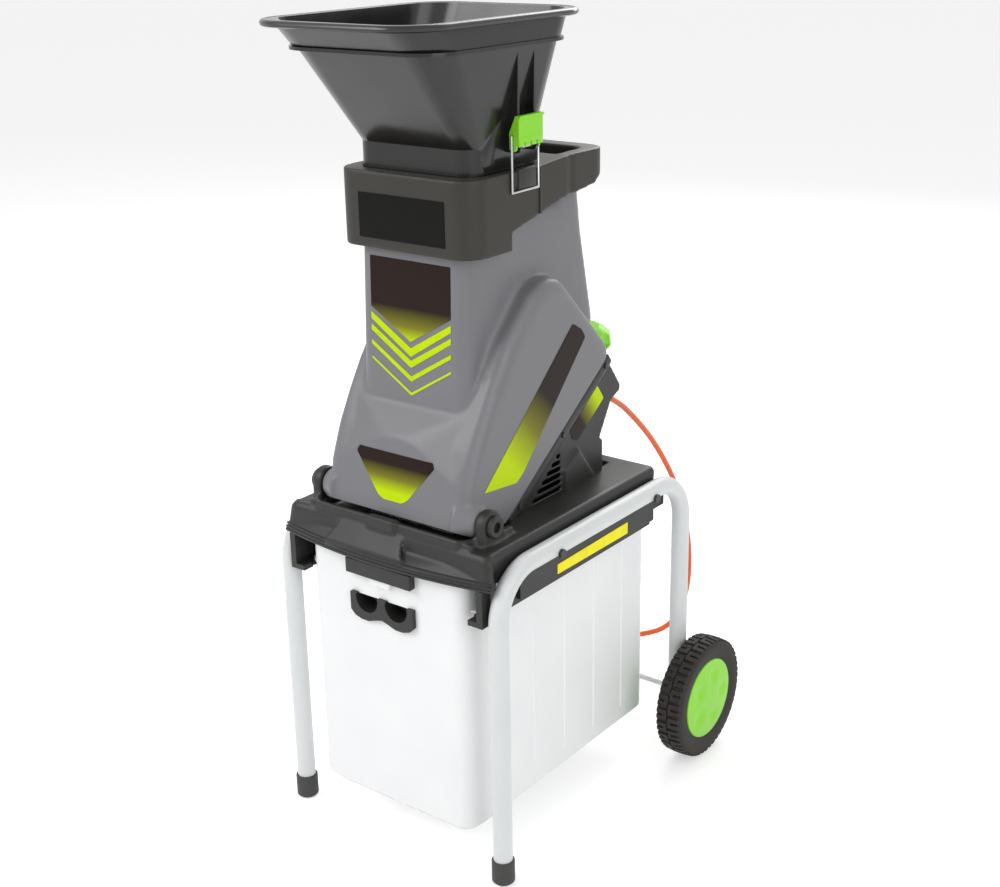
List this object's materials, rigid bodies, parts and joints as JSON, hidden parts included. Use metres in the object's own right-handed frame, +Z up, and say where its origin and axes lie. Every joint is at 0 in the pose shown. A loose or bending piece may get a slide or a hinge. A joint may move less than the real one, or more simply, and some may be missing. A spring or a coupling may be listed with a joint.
{
  "type": "garden shredder",
  "caption": "Electric garden shredder: tall feed hopper on a tilting chute tower over a sloped cutter disc, on a wheeled tube stand with a pull-out catch box.",
  "frame": {"origin": "on the floor, under the middle of the machine's box without its cord", "axes": "+Z up, -Y to the front where the catch box pulls out, +X to the machine's right as seen from the picture's right side"},
  "size_m": [0.46, 0.7711, 1.0644],
  "materials": {
    "tube": "silver powder coat",
    "foot": "matt",
    "steel": "machined",
    "dark_steel": "blackened",
    "black_plastic": "fine moulded texture",
    "dark_plastic": "fine moulded texture",
    "grey_plastic": "satin moulded",
    "hopper_plastic": "semi gloss moulded",
    "green_plastic": "semi gloss moulded",
    "red_plastic": "semi gloss moulded",
    "milky_plastic": "milky, slightly see-through",
    "tyre": "moulded tread",
    "copper": "enamelled wire",
    "brass": "plain",
    "blade": "ground",
    "wire": "drawn wire",
    "rubber": "matt",
    "cord": "smooth sheath",
    "plug": "moulded"
  },
  "bodies": {
    "base": {"frame_tube_right": "tube", "frame_tube_left": "tube", "foot_caps": "foot", "wheel_axle": "steel", "axle_washers": "steel", "axle_nuts": "steel", "frame_bolts": "dark_steel", "deck": "black_plastic", "rail_right": "black_plastic", "rail_left": "black_plastic", "rail_screws": "steel", "motor_housing": "black_plastic", "cover_screws": "dark_steel", "motor_stator": "steel", "field_coils": "copper", "brush_holders": "copper", "bearing_upper": "steel", "bearing_lower": "steel", "bearing_bracket": "steel", "hinge_bolts": "dark_steel", "knob_insert": "steel", "switch_plate": "dark_plastic", "safety_switch": "dark_plastic", "strain_relief": "rubber", "cord_run": "cord", "cord_coil": "cord", "cord_tie": "foot", "plug_body": "plug", "plug_pins": "brass"},
    "rotor": {"motor_shaft": "steel", "motor_rotor": "steel", "commutator": "copper", "cooling_fan": "dark_plastic", "cutter_disc": "steel", "blades": "blade", "blade_screws": "steel", "disc_nut": "steel"},
    "upper": {"upper_housing": "grey_plastic", "collar": "dark_plastic", "collar_screws": "steel"},
    "knob": {"lock_knob": "green_plastic", "knob_stud": "steel"},
    "hopper": {"hopper_funnel": "hopper_plastic", "hopper_rim": "hopper_plastic", "latch_pins": "steel"},
    "lever_right": {"latch_lever_right": "green_plastic"},
    "lever_left": {"latch_lever_left": "green_plastic"},
    "bail_right": {"latch_bail_right": "wire"},
    "bail_left": {"latch_bail_left": "wire"},
    "box": {"collection_box": "milky_plastic", "box_grip": "black_plastic"},
    "box_lock": {"box_lock_slider": "black_plastic"},
    "wheel_right": {"tyre_right": "tyre", "wheel_hub_right": "green_plastic"},
    "wheel_left": {"tyre_left": "tyre", "wheel_hub_left": "green_plastic"},
    "on_button": {"on_button": "green_plastic"},
    "off_button": {"off_button": "red_plastic"},
    "reset_button": {"reset_button": "black_plastic"}
  },
  "joints": [
    {"name": "rotor_spin", "type": "hinge", "parent": "base", "child": "rotor", "pos_m": [0, -0.00064, 0.54318], "axis": [0, -0.5736, 0.8192], "continuous": true},
    {"name": "housing_tilt", "type": "hinge", "parent": "base", "child": "upper", "pos_m": [0, -0.19175, 0.474], "axis": [1, 0, 0], "range_deg": [0, 60]},
    {"name": "knob_turn", "type": "hinge", "parent": "upper", "child": "knob", "pos_m": [0, 0.21825, 0.575], "axis": [0, -0.2392, 0.971], "continuous": true},
    {"name": "hopper_lift", "type": "slide", "parent": "upper", "child": "hopper", "axis": [0, 0, 1], "range_m": [0, 0.06]},
    {"name": "latch_right_open", "type": "hinge", "parent": "hopper", "child": "lever_right", "pos_m": [0.108, -0.07175, 0.913], "axis": [0, 1, 0], "range_deg": [0, 121]},
    {"name": "latch_left_open", "type": "hinge", "parent": "hopper", "child": "lever_left", "pos_m": [-0.108, -0.07175, 0.913], "axis": [0, -1, 0], "range_deg": [0, 121]},
    {"name": "bail_right_swing", "type": "hinge", "parent": "lever_right", "child": "bail_right", "pos_m": [0.108, -0.07175, 0.926], "axis": [0, 1, 0], "range_deg": [-211, 0]},
    {"name": "bail_left_swing", "type": "hinge", "parent": "lever_left", "child": "bail_left", "pos_m": [-0.108, -0.07175, 0.926], "axis": [0, -1, 0], "range_deg": [-211, 0]},
    {"name": "box_slide", "type": "slide", "parent": "base", "child": "box", "axis": [0, -1, 0], "range_m": [0, 0.4]},
    {"name": "box_lock_slide", "type": "slide", "parent": "box", "child": "box_lock", "axis": [0, 0, -1], "range_m": [0, 0.012]},
    {"name": "wheel_right_spin", "type": "hinge", "parent": "base", "child": "wheel_right", "pos_m": [0.21, 0.19825, 0.089], "axis": [1, 0, 0], "continuous": true},
    {"name": "wheel_left_spin", "type": "hinge", "parent": "base", "child": "wheel_left", "pos_m": [-0.21, 0.19825, 0.089], "axis": [1, 0, 0], "continuous": true},
    {"name": "on_button_press", "type": "slide", "parent": "base", "child": "on_button", "axis": [0, -1, 0], "range_m": [0, 0.003], "stiffness_N_per_m": 300},
    {"name": "off_button_press", "type": "slide", "parent": "base", "child": "off_button", "axis": [0, -1, 0], "range_m": [0, 0.003], "stiffness_N_per_m": 300},
    {"name": "reset_button_press", "type": "slide", "parent": "base", "child": "reset_button", "axis": [0, -1, 0], "range_m": [0, 0.003], "stiffness_N_per_m": 300}
  ],
  "couplings": [
    {"joint": "latch_right_open", "follows": "hopper_lift", "rad_per_m": 34.907},
    {"joint": "latch_left_open", "follows": "hopper_lift", "rad_per_m": 34.907},
    {"joint": "bail_right_swing", "follows": "hopper_lift", "rad_per_m": -61.087},
    {"joint": "bail_left_swing", "follows": "hopper_lift", "rad_per_m": -61.087}
  ]
}
